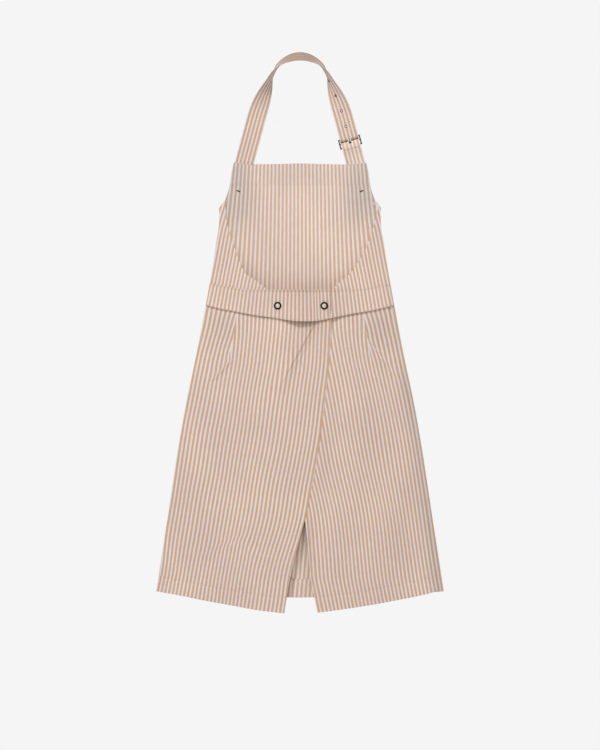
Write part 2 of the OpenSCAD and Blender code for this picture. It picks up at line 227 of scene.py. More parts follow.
def tip_fold(x, z, side):
    """Distance to the outer side of a dart's fold, and its weight along the fold."""
    off, fade = beside(x, z, *TIP_FOLDS[side])
    return -side * off, fade


def front_drape(x, z):
    """Soft relief of the front: nearly flat at the bib, with long folds that open towards the hem."""
    down = ease((WAIST_Z - 20 - z) / 420)
    pucker = bell(z - BIB_TOP + 9, 9) * wave(x, 9.5) * 0.28
    fold = (2.6 * wave(x + 14, 118) + 1.7 * np.sin((x - 30) * math.tau / 71 + z / 260)) * down
    return (relief(x, z, "front") + pucker + fold) * near_seam(x, z)


def left_drape(x, z):
    """Relief of the left wrap, positive out of the back."""
    d = relief(x, z, "left") + 1.5 * wave(x + 0.17 * z, 97) * ease((-515 - z) / 380)
    return d * near_seam(x, z) * below_band(x, z)


def right_drape(x, z):
    """Relief of the right wrap, positive out of the back; the part under the left wrap stays low."""
    d = relief(x, z, "right") + 1.4 * wave(x - 0.17 * z, 103) * ease((-515 - z) / 380)
    free = ease((x - left_edge(z) + 25) / 45)
    return (d * (0.25 + 0.75 * free) - 0.6 * (1 - free)) * near_seam(x, z) * below_band(x, z)


def yoke_relief(x, z):
    return relief(x, z, "yoke") * near_seam(x, z)


def dart(x, z, side):
    """Groove of a skirt dart between two soft swells."""
    line = side * (half_width(z) - DART_U * SKIRT_W)
    fade = ease((z - (DART_TIP_Z + 10)) / 50)
    hump = 0.7 * below_band(x, z) * bell(x - line, 14)
    return fade * (hump - 0.9 * bell(x - line, 2.2))


def hem_groove(z, hem, tall=HEM_H):
    """The stitched line above a hem pulls the cloth in slightly."""
    return -0.5 * bell(z - hem - tall + 2, 1.6) + 0.25 * bell(z - hem, 9)


# ---- Depths of the cloth, as y at x and z ----


def bulge(x, z, arm, lean, r):
    a = math.radians(lean)
    return arm + (ARM_Z - z) * math.tan(a) + r * (1 / math.cos(a) - 1) - x**2 / (2 * r)


def front_in(x, z):
    return bulge(x, z, *OUTER_BULGE)


def under_in(x, z):
    return bulge(x - UNDER_X, z, *UNDER_BULGE)


def front_depth(x, z):
    return to_seam(front_in(x, z) + FRONT_OUT + front_drape(x, z), x, z, 20, FRONT_SEAM)


def facing_depth(x, z):
    """The facing lies on the bib and is pressed flat along its lower edge."""
    up = np.clip((z - FACING_LOW) / (BIB_TOP - FACING_LOW), 0, 1)
    return front_depth(x, z) - 0.27 - 0.5 * np.sin(math.pi * up)


def over_skirt(x, z):
    out = front_in(x, z) + WRAP_OUT + left_drape(x, z) + dart(x, z, -1) + hem_groove(z, left_hem(x))
    return -to_seam(out, x, z, 16, WRAP_SEAM)


def under_skirt(x, z):
    """The right wrap, which the free edge of the left one presses on."""
    out = under_in(x, z) + WRAP_OUT + right_drape(x, z) + dart(x, z, 1) + hem_groove(z, right_hem(x))
    own = -to_seam(out, x, z, 16, WRAP_SEAM)
    touch = bell(x - left_edge(z), 26) * below_band(x, z, 60)
    return own + (over_skirt(x, z) + 1.5 - own) * touch


def over_yoke(x, z):
    return -to_seam(front_in(x, z) + WRAP_OUT + yoke_relief(x, z), x, z, 14, WRAP_SEAM)


def under_yoke(x, z):
    return -to_seam(under_in(x, z) + WRAP_OUT + yoke_relief(x, z), x, z, 14, WRAP_SEAM)


def band_lift(x, z):
    """The left band stands off between its snaps, most at its lower edge."""
    across = np.clip((x - SNAP_X[0] - 6) / (SNAP_X[1] - SNAP_X[0] - 12), 0, 1)
    low = ease((-466 - z) / 54)
    gather = 0.5 * bell(x - 34, 9) * wave(x - 34, 9)
    return (7.2 * np.sin(math.pi * across) ** 1.5 + gather) * low


def flare(x, z, amount):
    """A band's lower edge stands out from the skirt gathered under it."""
    return amount * fall(z - band_bottom(x), 9)


def over_band(x, z):
    """The left band, calm round its snaps and pressed down at its end."""
    rough = ripple(x, z, 51, 70, 0.35) * (1 - bell(np.abs(x - LAP_MID) - SNAP_HALF, 12))
    pressed = 0.7 * ease((x - BAND_END_LEFT + 4.5) / 4)
    out = front_in(x, z) + BAND_OUT + rough + band_lift(x, z) + flare(x, z, 2.2) - pressed
    return -to_seam(out, x, z, 10, BAND_SEAM)


def under_band(x, z):
    """The right band, which swells beside the left one's end to lie level with it."""
    past = x - BAND_END_LEFT - 5
    rough = ripple(x, z, 52, 70, 0.3) * ease(past / 20) + 3.4 * bell(past, 9)
    out = under_in(x, z) + BAND_OUT + rough + flare(x, z, 2.3) * ease((x - 52) / 10)
    return -to_seam(out, x, z, 10, BAND_SEAM)


def front_band(x, z):
    out = front_in(x, z) + FRONT_BAND_OUT + ripple(x, z, 53, 90, 0.3) + flare(x, z, 1.6)
    return to_seam(out, x, z, 10, FRONT_BAND_SEAM)


# ---- Stripes: where each point lies on the cloth as cut ----


def bib_stripes(x, z):
    down = BIB_TOP - z
    return x / (1 + 0.00029 * down + 0.00036 * down * np.minimum((x / 120) ** 2, 1.6))


def band_stripes(x, z):
    """Stripes that follow the waist in, crowded a little where the left band has been pulled."""
    s = x / (1 + 0.00118 * (WAIST_Z - z))
    return s + 2.6 * np.tanh((x - 33) / 7)


# The yokes were cut with their stripes a little straighter than the seam beside them
yoke_line = curve([(-277, 143), (-340, 160), (-400, 171.5), (-458, 183)])


def yoke_stripes(x, z, side, shift):
    """Stripes down a yoke, meeting those of its band at the top of the band."""
    at_x, at_z = side * 140.0, WAIST_Z
    meet = band_stripes(at_x, at_z) + shift - at_x + side * yoke_line(at_z)
    return x - side * yoke_line(z) + meet


def skirt_stripes(edge, side, phase):
    """Stripes that share out a skirt between its seam and its free edge."""

    def at(x, z, outboard):
        width = half_width(z) + side * -edge(z)
        u = (half_width(z) - side * x) / width
        # The dart takes cloth in, more and more above its tip, and the stripes on both sides run up into it
        opening = np.clip((z - DART_TIP_Z) / 100, 0, 1.5) ** 1.3
        inboard_share = fall(u - DART_U, 0.34 if side < 0 else 0.22)
        shift = opening * np.where(outboard, -13.0 * u / DART_U, 9.0 * inboard_share)
        out, fade = tip_fold(x, z, side)
        shift = shift - 3.4 * fade * ease(out / 6) * fall(out, 24)
        shift = shift + ripple(x, z, 61 + side, 130, 1.1, 1.4) * below_band(x, z, 60)
        if side < 0:
            # Drawn towards the crease on its left, kinked at the jog, and set straight again at the hem
            off, _ = beside(x, z, *PULL)
            pull = ease((-526 - z) / 70) * ease((z + 760) / 120) * ease(off / 24) * fall(off, 60)
            low, fade = beside(x, z, *JOG)
            jog = fade * ease(-low / 20) * fall(-low, 80)
            straight = ease((left_hem(x) + HEM_H + 3 - z) / 8) * ease((-150 - x) / 70)
            shift = shift + 2.4 * pull + 3.6 * jog + 0.5 * straight
        return u * SKIRT_W + shift + phase

    return at


# ---- Meshes ----


def spaced(start, end, step, extra=()):
    """Evenly spaced values from start to end, with some more worked in."""
    n = max(1, round(abs(end - start) / step))
    base = np.linspace(start, end, n + 1)
    keep = [v for v in base if all(abs(v - e) > 0.4 * step for e in extra) or v in (start, end)]
    return np.array(sorted(set(keep) | set(extra), reverse=end < start))


def unit(v):
    return v / np.maximum(np.linalg.norm(v, axis=-1, keepdims=True), 1e-9)


def grid_normals(p, face):
    across = np.gradient(p, axis=1)
    down = np.gradient(p, axis=0)
    return face * unit(np.cross(across, down))


def to_mesh(name, verts, faces, uvs, material, attributes=()):
    mesh = bpy.data.meshes.new(name)
    mesh.from_pydata((np.asarray(verts) * MM).tolist(), [], faces)
    if uvs is not None:
        layer = mesh.uv_layers.new(name="Weave")
        layer.data.foreach_set("uv", (np.asarray(uvs, np.float32) * MM).ravel())
    for label, values in attributes:
        data = mesh.attributes.new(label, "FLOAT", "POINT").data
        data.foreach_set("value", np.asarray(values, np.float32))
    mesh.polygons.foreach_set("use_smooth", [True] * len(mesh.polygons))
    mesh.materials.append(material)
    mesh.validate(clean_customdata=False)
    mesh.update()
    obj = bpy.data.objects.new(name, mesh)
    bpy.context.scene.collection.objects.link(obj)
    return obj


def cloth(name, p, face, s, t, material, half=PLY, s_after=None, split=None, keep=None, wear=None,
          painted_shade=None):
    """A sheet of cloth: the grid p of points thickened both ways, closed all round its edges and holes.

    s and t say where each point lies on the cut cloth; from column split on, s_after is read instead.
    wear fades the colour from 0 to 1; the last argument paints shade in, greying it above 0 and browning it
    below 0.
    """
    rows, cols = p.shape[:2]
    n = grid_normals(p, face)
    half = np.broadcast_to(np.asarray(half, float), (rows, cols))[..., None]
    verts = np.concatenate([(p + n * half).reshape(-1, 3), (p - n * half).reshape(-1, 3)])
    count = rows * cols
    if keep is None:
        keep = np.ones((rows - 1, cols - 1), bool)
    s_after = s if s_after is None else s_after
    split = cols if split is None else split
    faces, uvs = [], []

    def corner(i, j, cell):
        return ((s_after if cell >= split else s)[i, j], t[i, j])

    def side_gone(i, j):
        return not (0 <= i < rows - 1 and 0 <= j < cols - 1 and keep[i, j])

    for i in range(rows - 1):
        for j in range(cols - 1):
            if not keep[i, j]:
                continue
            ring = [(i, j), (i, j + 1), (i + 1, j + 1), (i + 1, j)]
            ring = ring if face > 0 else ring[::-1]
            faces.append([a * cols + b for a, b in ring])
            uvs += [corner(a, b, j) for a, b in ring]
            faces.append([count + a * cols + b for a, b in ring[::-1]])
            uvs += [corner(a, b, j) for a, b in ring[::-1]]
            for k in range(4):
                a, b = ring[k], ring[(k + 1) % 4]
                di = (1 if a[0] > i else -1) if a[0] == b[0] else 0
                dj = (1 if a[1] > j else -1) if a[1] == b[1] else 0
                if side_gone(i + di, j + dj):
                    ia, ib = a[0] * cols + a[1], b[0] * cols + b[1]
                    faces.append([ib, ia, count + ia, count + ib])
                    uvs += [corner(*b, j), corner(*a, j), corner(*a, j), corner(*b, j)]
    if wear is None:
        wear = edge_wear(p)
    painted_shade = np.zeros((rows, cols)) if painted_shade is None else painted_shade
    marks = [("Wear", np.tile(wear.ravel(), 2)), ("PaintedShade", np.tile(painted_shade.ravel(), 2))]
    return to_mesh(name, verts, faces, uvs, material, marks)


def edge_wear(p, reach=5.0):
    """1 on the grid's borders, falling to 0 a few millimetres in."""
    along = np.linalg.norm(np.diff(p, axis=1), axis=2)
    down = np.linalg.norm(np.diff(p, axis=0), axis=2)
    a = np.concatenate([np.zeros((p.shape[0], 1)), np.cumsum(along, 1)], 1)
    d = np.concatenate([np.zeros((1, p.shape[1])), np.cumsum(down, 0)], 0)
    far = np.minimum(np.minimum(a, a[:, -1:] - a), np.minimum(d, d[-1:] - d))
    return np.clip(1 - far / reach, 0, 1)


class Panel:
    """A cut piece between two side curves of z and two end curves of x, lying on a depth of x and z."""

    def __init__(self, left, right, top, bottom, depth, face):
        self.left, self.right, self.top, self.bottom = left, right, top, bottom
        self.depth, self.face = depth, face

    def place(self, u, v):
        x = np.zeros_like(u + v)
        for _ in range(5):
            z = self.top(x) + v * (self.bottom(x) - self.top(x))
            x = self.left(z) + u * (self.right(z) - self.left(z))
        return x, z

    def points(self, u, v, lift=0.0):
        x, z = self.place(u, v)
        return np.stack([x, self.depth(x, z) - self.face * lift, z], -1)

    def grid(self, us, vs, u_lift=None, v_lift=None):
        v, u = np.meshgrid(vs, us, indexing="ij")
        lift = np.zeros_like(u)
        if u_lift is not None:
            lift = lift + np.asarray(u_lift)[None, :]
        if v_lift is not None:
            lift = lift + np.asarray(v_lift)[:, None]
        return self.points(u, v, lift)

    def row(self, pairs, lift=0.0):
        """Points and outward normals along a line of (u, v) pairs."""
        uv = np.array(pairs, float)
        p = self.points(uv[:, 0], uv[:, 1], lift)
        e = 0.004
        a = self.points(uv[:, 0] + e, uv[:, 1], lift) - self.points(uv[:, 0] - e, uv[:, 1], lift)
        b = self.points(uv[:, 0], uv[:, 1] + e, lift) - self.points(uv[:, 0], uv[:, 1] - e, lift)
        return p, self.face * unit(np.cross(a, b))


# Radius at which the cloth turns back in a hem
FOLD_R = 0.42


def folded(values, length, turn_in, at_end=True):
    """Adds a turned-in hem to a list of shares along a side of that length: (values, lifts)."""
    r = FOLD_R / length
    edge = values[-1]
    turns = (0.8, math.pi / 2, 2.34)
    arc = [(edge + r * math.sin(a), FOLD_R * (1 - math.cos(a))) for a in turns]
    inward = np.linspace(0, turn_in, max(3, round(turn_in / 5) + 1))
    back = [(edge - d / length, 2 * FOLD_R) for d in inward]
    both = [(v, 0.0) for v in values] + arc + back
    both = both if at_end else [(edge - v, lift) for v, lift in both][::-1]
    return np.array([b[0] for b in both]), np.array([b[1] for b in both])


def seams(inset=0.0):
    """The left and the right side seam as x at z, moved in by that much."""
    return (lambda z: -half_width(z) + inset), (lambda z: half_width(z) - inset)


def row_across(start, end, n, v):
    """A row of n points across a panel at v, as (u, v) pairs."""
    return [(u, v) for u in np.linspace(start, end, n)]


# Pitch, length and radius of a stitch and of a finer one, and a stitch's rings as shares of its length,
# its radius and its height
STITCH, FINE_STITCH = (3.3, 2.5, 0.3), (3.3, 2.2, 0.11)
STITCH_RINGS = (
    (-0.5, 0.35, -0.25), (-0.32, 0.9, 0.05), (0.0, 1.0, 0.16), (0.32, 0.9, 0.05), (0.5, 0.35, -0.25)
)
SIDES = 5


def stitch_mesh(name, rows, material):
    """Separate stitches along rows of (points, normals), each a short thread that dives at both ends.

    A row may end with a pitch, length and radius of its own.
    """
    verts, faces, uvs = [], [], []
    last = len(STITCH_RINGS) - 1
    for points, normals, *own in rows:
        gap, size, thick = own[0] if own else STITCH
        step = np.linalg.norm(np.diff(points, axis=0), axis=1)
        run = np.concatenate([[0], np.cumsum(step)])

        def sample(d, source):
            return np.array([np.interp(d, run, source[:, k]) for k in range(3)])

        for at in np.arange(gap * 0.6, run[-1] - gap * 0.4, gap):
            c, n = sample(at, points), unit(sample(at, normals))
            d = unit(sample(at + 0.3, points) - sample(at - 0.3, points))
            b = np.cross(d, n)
            first = len(verts)
            for f, r, h in STITCH_RINGS:
                centre = c + d * f * size + n * (h * thick * 1.6)
                for k in range(SIDES):
                    a = math.tau * k / SIDES
                    verts.append(centre + (b * math.cos(a) + n * math.sin(a)) * r * thick)
            for i in range(last):
                low, high = first + i * SIDES, first + (i + 1) * SIDES
                for k in range(SIDES):
                    after = (k + 1) % SIDES
                    faces.append([low + k, low + after, high + after, high + k])
                    uvs += [(at + i, k), (at + i, k + 1), (at + i + 1, k + 1), (at + i + 1, k)]
            faces.append([first + k for k in range(SIDES)][::-1])
            faces.append([first + last * SIDES + k for k in range(SIDES)])
            uvs += [(at, 0)] * (2 * SIDES)
    return to_mesh(name, verts, faces, uvs, material)


# ---- Materials ----


def linear(r, g, b):
    def one(c):
        c /= 255
        return c / 12.92 if c <= 0.04045 else ((c + 0.055) / 1.055) ** 2.4

    return one(r), one(g), one(b), 1.0


class Shader:
    """A material whose nodes are added by name and linked as they are made."""

    def __init__(self, name, **sockets):
        self.material = bpy.data.materials.new(name)
        self.material.use_nodes = True
        self.tree = self.material.node_tree
        self.bsdf = self.tree.nodes["Principled BSDF"]
        self.set(**sockets)

    def feed(self, socket, value):
        """Links a socket to another one, or gives it a plain value."""
        if isinstance(value, bpy.types.NodeSocket):
            self.tree.links.new(value, socket)
        else:
            socket.default_value = value

    def set(self, **sockets):
        for key, value in sockets.items():
            self.feed(self.bsdf.inputs[key.replace("_", " ")], value)

    def add(self, kind, output=0, settings=None, inputs=None):
        node = self.tree.nodes.new("ShaderNode" + kind)
        for key, value in (settings or {}).items():
            setattr(node, key, value)
        for key, value in (inputs or {}).items():
            self.feed(node.inputs[key], value)
        return node.outputs[output]

    def math(self, operation, a, b=0.0):
        return self.add("Math", 0, {"operation": operation}, {0: a, 1: b})

    def plus(self, a, b):
        return self.math("ADD", a, b)

    def minus(self, a, b):
        return self.math("SUBTRACT", a, b)

    def times(self, a, b):
        return self.math("MULTIPLY", a, b)

    def mix(self, factor, a, b, blend="MIX"):
        return self.add("Mix", 2, {"data_type": "RGBA", "blend_type": blend}, {0: factor, 6: a, 7: b})

    def noise(self, vector, scale, detail=2.0, rough=0.5):
        inputs = {"Vector": vector, "Scale": scale, "Detail": detail, "Roughness": rough}
        return self.add("TexNoise", 0, None, inputs)

    def ramp(self, value, low, high, to_low=0.0, to_high=1.0, smooth=False):
        kind = "SMOOTHSTEP" if smooth else "LINEAR"
        inputs = {"Value": value, "From Min": low, "From Max": high, "To Min": to_low, "To Max": to_high}
        return self.add("MapRange", 0, {"interpolation_type": kind}, inputs)

    def scaled(self, vector, x, y, z=1.0):
        return self.add("VectorMath", 0, {"operation": "MULTIPLY"}, {0: vector, 1: (x, y, z)})

    def bump(self, height, strength, distance, under=None):
        inputs = {"Height": height, "Strength": strength, "Distance": distance}
        if under is not None:
            inputs["Normal"] = under
        return self.add("Bump", 0, None, inputs)


# Tints of the painted shade: none, a grey one and a brown one
PLAIN, SHADE_GREY, SHADE_BROWN = (1.0, 1.0, 1.0, 1.0), (0.78, 0.82, 0.86, 1.0), (0.60, 0.53, 0.46, 1.0)
# Distance from the middle of a stripe pair at which white takes over, as a share of the pair
WHITE_FROM = 0.27


def striped(name, tan, tan_deep, white, white_warm):
    """Yarn-dyed poplin: stripes along t on a fine plain weave, from the Weave map in metres."""
    m = Shader(name, Sheen_Weight=0.22, Sheen_Roughness=0.55, Specular_IOR_Level=0.28)
    uv = m.add("UVMap", 0, {"uv_map": "Weave"})
    s = m.add("SeparateXYZ", 0, None, {0: uv})
    t = s.node.outputs[1]

    def grain(across, along, detail, rough=0.5):
        """Noise on the cloth, by its scales across and along the stripes."""
        return m.noise(m.scaled(uv, across, along), 1.0, detail, rough)

    # Stripe edges wander by a thread or so
    place = m.plus(m.times(s, 1 / (PERIOD * MM)), m.ramp(grain(900, 90, 2.0), 0.25, 0.75, -0.035, 0.035))
    from_middle = m.math("ABSOLUTE", m.minus(m.math("FRACT", place), 0.5))
    is_white = m.ramp(from_middle, WHITE_FROM - 0.045, WHITE_FROM + 0.045, smooth=True)

    # Warp yarns differ in shade along their length, and the dye is uneven over a hand's width
    yarn, patch, slub = grain(2300, 45, 3.0, 0.6), grain(9, 6, 3.0, 0.55), grain(60, 1900, 2.0, 0.6)
    tans = m.mix(m.ramp(yarn, 0.3, 0.7), tan, tan_deep)
    whites = m.mix(m.ramp(patch, 0.3, 0.7), white, white_warm)
    colour = m.mix(is_white, tans, whites)
    weft = m.times(m.ramp(slub, 0.35, 0.75), 0.10)
    colour = m.mix(weft, colour, linear(229, 216, 211))
    shade = m.plus(m.ramp(patch, 0.25, 0.75, 0.955, 1.03), m.ramp(yarn, 0.3, 0.7, -0.03, 0.02))
    shade = m.add("CombineXYZ", 0, None, {0: shade, 1: shade, 2: shade})
    colour = m.mix(1.0, colour, shade, "MULTIPLY")

    # Edges that are handled fade and pick up a little lint
    wear = m.add("Attribute", 2, {"attribute_name": "Wear"})
    lint = m.times(wear, m.ramp(grain(420, 420, 3.0), 0.42, 0.7, 0.0, 0.35))
    colour = m.mix(lint, colour, linear(228, 214, 203))
    # Painted shade: the shade attribute greys the cloth above 0 and browns it below
    painted_shade = m.add("Attribute", 2, {"attribute_name": "PaintedShade"})
    colour = m.mix(1.0, colour, m.mix(painted_shade, PLAIN, SHADE_GREY), "MULTIPLY")
    colour = m.mix(1.0, colour, m.mix(m.times(painted_shade, -1.0), PLAIN, SHADE_BROWN), "MULTIPLY")
    rough = m.plus(m.ramp(slub, 0.3, 0.7, 0.80, 0.92), m.times(wear, 0.05))

    # Plain weave: threads over and under at a third of a millimetre, then yarn slubs and soft rumples
    warp = m.math("SINE", m.times(s, math.tau / (0.62 * MM)))
    weave = m.times(warp, m.math("SINE", m.times(t, math.tau / (0.66 * MM))))
    fine = m.bump(weave, 0.22, 0.00009)
    fine = m.bump(grain(1500, 160, 2.0), 0.25, 0.00012, fine)
    normal = m.bump(grain(52, 26, 3.0), 0.35, 0.0021, fine)
    m.set(Base_Color=colour, Roughness=rough, Normal=normal, Sheen_Tint=(1.0, 0.95, 0.92, 1.0))
    return m.material


def thread(name, colour, dark, rough=0.6):
    """Twisted sewing thread."""
    m = Shader(name, Roughness=rough, Sheen_Weight=0.3, Sheen_Roughness=0.4, Specular_IOR_Level=0.35)
    uv = m.add("UVMap", 0, {"uv_map": "Weave"})
    inputs = {"Vector": uv, "Scale": 620.0, "Distortion": 1.5}
    twist = m.add("TexWave", 0, {"bands_direction": "DIAGONAL"}, inputs)
    m.set(Base_Color=m.mix(m.ramp(twist, 0.2, 0.8), dark, colour), Normal=m.bump(twist, 0.5, 0.0001))
    return m.material


# Radii on a snap's face: its darker middle fades between the first two, and its dark rim starts at the
# others
DARK_MIDDLE_R, RIM_R = (0.5, 2.0), (4.1, 4.5)


def metal(name, colour, worn, metallic, rough, specular=0.5, dark_middle=None, colour_rim=None):
    """Plated metal: the plating dulls in patches and is rubbed through to brighter metal on its edges."""
    m = Shader(name, Metallic=metallic, Specular_IOR_Level=specular)
    where = m.add("TexCoord", 3)
    edge = m.ramp(m.add("NewGeometry", 7), 0.505, 0.58)
    blotch = m.noise(where, 420.0, 4.0, 0.6)
    rub = m.times(edge, m.ramp(blotch, 0.4, 0.62))
    rub = m.math("MAXIMUM", rub, m.ramp(blotch, 0.66, 0.72, 0.0, 0.35))
    base = m.mix(rub, colour, worn)
    if dark_middle is not None:
        # The middle of each snap's face is darker, and the dark ring closes over its rim
        spot = m.add("SeparateXYZ", 0, None, {0: where})
        across = m.minus(m.math("ABSOLUTE", m.minus(spot, SNAP_MID * MM)), SNAP_HALF * MM)
        up = m.minus(spot.node.outputs[2], SNAP_Z * MM)
        away = m.math("SQRT", m.plus(m.times(across, across), m.times(up, up)))
        base = m.mix(m.ramp(away, DARK_MIDDLE_R[0] * MM, DARK_MIDDLE_R[1] * MM, 0.6, 0.0, True), base, dark_middle)
        rim = m.ramp(away, RIM_R[0] * MM, RIM_R[1] * MM)
        base = m.mix(rim, base, colour_rim)
        m.set(Metallic=m.ramp(rim, 0.0, 1.0, metallic, 0.0))
    dulled = m.ramp(m.noise(where, 1400.0, 4.0, 0.65), 0.3, 0.7, rough - 0.07, rough + 0.12)
    m.set(Base_Color=base, Roughness=dulled, Normal=m.bump(m.noise(where, 2800.0, 3.0), 0.12, 0.00006))
    return m.material


COTTON = striped(
    "striped_cotton", linear(213, 173, 133), linear(198, 156, 115), linear(221, 212, 223),
    linear(228, 219, 220)
)
# A lighter copy of the cloth for its inside faces, which lie behind other layers: painted light against
# their shade
COTTON_LIT = striped(
    "striped_cotton_inside", linear(221, 184, 144), linear(207, 167, 125), linear(228, 219, 229),
    linear(235, 225, 226)
)
THREAD = thread("stitching", linear(206, 178, 150), linear(176, 143, 112))
TACK = thread("tack_thread", (0.012, 0.009, 0.012, 1), (0.004, 0.003, 0.005, 1), 0.5)
EYELET = thread("eyelet_thread", linear(96, 80, 72), linear(66, 54, 50), 0.5)
BLACKENED = linear(14, 11, 11)
GUNMETAL = metal("dark_metal", linear(46, 35, 32), linear(92, 78, 68), 0.5, 0.48, specular=0.3)
RING = metal("snap_ring_metal", BLACKENED, linear(34, 30, 29), 0.0, 0.5, specular=0.12)
PALE = metal(
    "snap_face", linear(206, 197, 178), linear(220, 212, 194), 0.25, 0.36, specular=0.3,
    dark_middle=linear(118, 108, 98), colour_rim=BLACKENED
)
NICKEL = metal("snap_metal", linear(196, 192, 186), linear(228, 226, 220), 1.0, 0.32)

CARRIED = {
    "buckle_frame": GUNMETAL, "buckle_tongue": GUNMETAL, "snap_rings": RING, "snap_caps": PALE,
    "snap_sockets": NICKEL, "snap_studs": NICKEL, "snap_stud_rings": RING, "strap_eyelets": EYELET,
}
for node_name, material in CARRIED.items():
    data = nodes[node_name].data
    if not data.uv_layers.get("Weave"):
        data.uv_layers.new(name="Weave")
    for index in range(len(data.materials)):
        data.materials[index] = material


def with_wrap(obj):
    """The piece is sewn to the front at the side seam; its transform is baked into its mesh."""
    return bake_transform(obj)


def stand_in(obj, node, body=None):
    """The piece takes the place of a CAD node, which is hidden, and rides with that body if one is given.
    """
    if body:
        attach(obj, body)
    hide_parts(node)
    return obj


stitch_rows = {"left": [], "right": [], "front": [], "strap": []}

# ---- Front: bib, facing, waistband, skirt ----
bib = Panel(*seams(), bib_top, lambda x: band_top(x) - 4, front_depth, FRONT)
us = spaced(0, 1, 5.5 / 290, (0.004, 0.996))
vs = spaced(0, 1, 5.0 / 250, (0.005, 0.012))
p = bib.grid(us, vs)


def bib_painted_shade(x, z):
    """Painted shade on the bib: greyer towards its upper sides, as if they turned away from the light, and
    a little along its top.
    """
    side = ease((np.abs(x) - 62) / 62) * ease((z + 372) / 90)
    top = 0.35 * ease((z + 262) / 40)
    return np.maximum(side, top)


x, z = p[..., 0], p[..., 2]
bib_obj = cloth("bib_panel_cloth", p, FRONT, bib_stripes(x, z), z, COTTON_LIT, painted_shade=bib_painted_shade(x, z))
stand_in(bib_obj, "bib_panel", "front")

facing = Panel(*seams(3.2), lambda x: bib_top(x) - 0.6, lambda x: FACING_LOW + 0 * x, facing_depth, BACK)
us = spaced(0, 1, 5.0 / 270, (0.004, 0.996))
vs = spaced(0, 1, 3.4 / 40, (0.005, 0.03, 0.9, 0.93, 0.96, 0.995))
p = facing.grid(us, vs)
x, z = p[..., 0], p[..., 2]
facing_obj = cloth("bib_facing_cloth", p, BACK, bib_stripes(x, z) + 0.4, z, COTTON_LIT, half=FACING_PLY,
                   painted_shade=bib_painted_shade(x, z))
stand_in(facing_obj, "bib_top_facing", "front")
for v in (0.93, 0.06):
    stitch_rows["front"].append((*facing.row(row_across(0.004, 0.996, 60, v), -0.22), FINE_STITCH))

belt = Panel(*seams(0.3), band_top, band_bottom, front_band, FRONT)
us = spaced(0, 1, 5.5 / 370, (0.003, 0.997))
vs = spaced(0, 1, 4.5 / 60, (0.015, 0.03, 0.05, 0.95, 0.97, 0.985))
p = belt.grid(us, vs)


def band_half(vs, cols):
    """A folded band is full in its middle and rounds off at its two folded edges."""
    edge = np.minimum(vs, 1 - vs) / 0.03
    return np.repeat((BAND_PLY * (0.35 + 0.65 * np.sqrt(np.clip(edge, 0, 1))))[:, None], cols, 1)


x, z = p[..., 0], p[..., 2]
belt_obj = cloth("front_waistband_cloth", p, FRONT, band_stripes(x, z), z, COTTON,
                 half=band_half(vs, len(us)))
stand_in(belt_obj, "front_waistband", "front")
for v in (0.045, 0.955):
    stitch_rows["front"].append(belt.row(row_across(0.004, 0.996, 80, v), -BAND_PLY))


def front_bottom(x):
    return FRONT_HEM_Z + 12 * (x / 288) ** 2


def front_skirt_depth(x, z):
    """The front skirt is drawn in behind the slit between the wraps."""
    inward = 39 * ease((-735 - z) / 240) * bell(x, 70)
    return front_depth(x, z) - inward + hem_groove(z, front_bottom(x), FRONT_HEM_H)


def cut_length(vs, lift, height):
    """Distance down the cut cloth to each row, on past the edge where the hem turns back."""
    return np.where(lift > 0.01, 2 * vs.max() - vs, vs)[:, None] * -height


FRONT_SKIRT_H = 611.0
skirt = Panel(*seams(), lambda x: band_top(x) - 4.6, front_bottom, front_skirt_depth, FRONT)
us = spaced(0, 1, 6.5 / 470, (0.002, 0.998))
hem_v = 1 - (FRONT_HEM_H - 2) / FRONT_SKIRT_H
vs = spaced(0, 1, 6.5 / FRONT_SKIRT_H, (hem_v - 0.003, hem_v, hem_v + 0.003, 0.998))
vs_f, v_lift = folded(vs, FRONT_SKIRT_H, FRONT_HEM_H)
p = skirt.grid(us, vs_f, v_lift=v_lift)
x, z = p[..., 0], p[..., 2]
spread = (half_width(z) / half_width(WAIST_Z) - 1) * 0.25 + 1
# In the slit between the wraps the stripes lean a little to the right as they go up
lean = 0.09 * (z - FRONT_HEM_Z) * bell(x, 62) * ease((-790 - z) / 150)
# The stripes of the turned-in hem do not quite meet those above it
s = (x - lean) / spread + np.where(v_lift > 0.8, 2.2, 0.0)[:, None]
run = cut_length(vs_f, v_lift, FRONT_SKIRT_H)
skirt_obj = cloth("front_skirt_cloth", p, FRONT, s, np.broadcast_to(run, s.shape), COTTON_LIT)
stand_in(skirt_obj, "front_skirt", "front")
stitch_rows["front"].append(skirt.row(row_across(0.003, 0.997, 140, hem_v), -RAISE + 0.12))

# Black bar tacks: two laid threads whipped over closely
TACK_TILT, TACK_X, TACK_Z = math.radians(20), 123.2, -260.2
tack_rows = []
for side in (-1, 1):
    centre = np.array([side * TACK_X, 0.0, TACK_Z])
    d = np.array([math.cos(TACK_TILT), 0.0, side * math.sin(TACK_TILT)])
    ends = np.array([centre + d * f for f in np.linspace(-3.6, 3.6, 6)])
    ends[:, 1] = front_depth(ends[:, 0], ends[:, 2]) - PLY - 0.3
    up = np.tile([0.0, -1.0, 0.0], (6, 1))
    cross = np.array([-d[2], 0.0, d[0]])
    tack_rows += [(ends + cross * w, up, (6.9, 6.8, 0.55)) for w in (-0.45, 0.45)]
    for f in np.linspace(-3.4, 3.4, 13):
        whip = np.array([ends.mean(0) + d * f + cross * w for w in (-1.3, 0.0, 1.3)])
        whip[:, 1] -= 0.42
        tack_rows.append((whip, up[:3], (2.5, 2.3, 0.34)))
tack_obj = stitch_mesh("bib_tacks_thread", tack_rows, TACK)
stand_in(tack_obj, "bib_bar_tacks", "front")

# ---- Back yokes and their facings ----

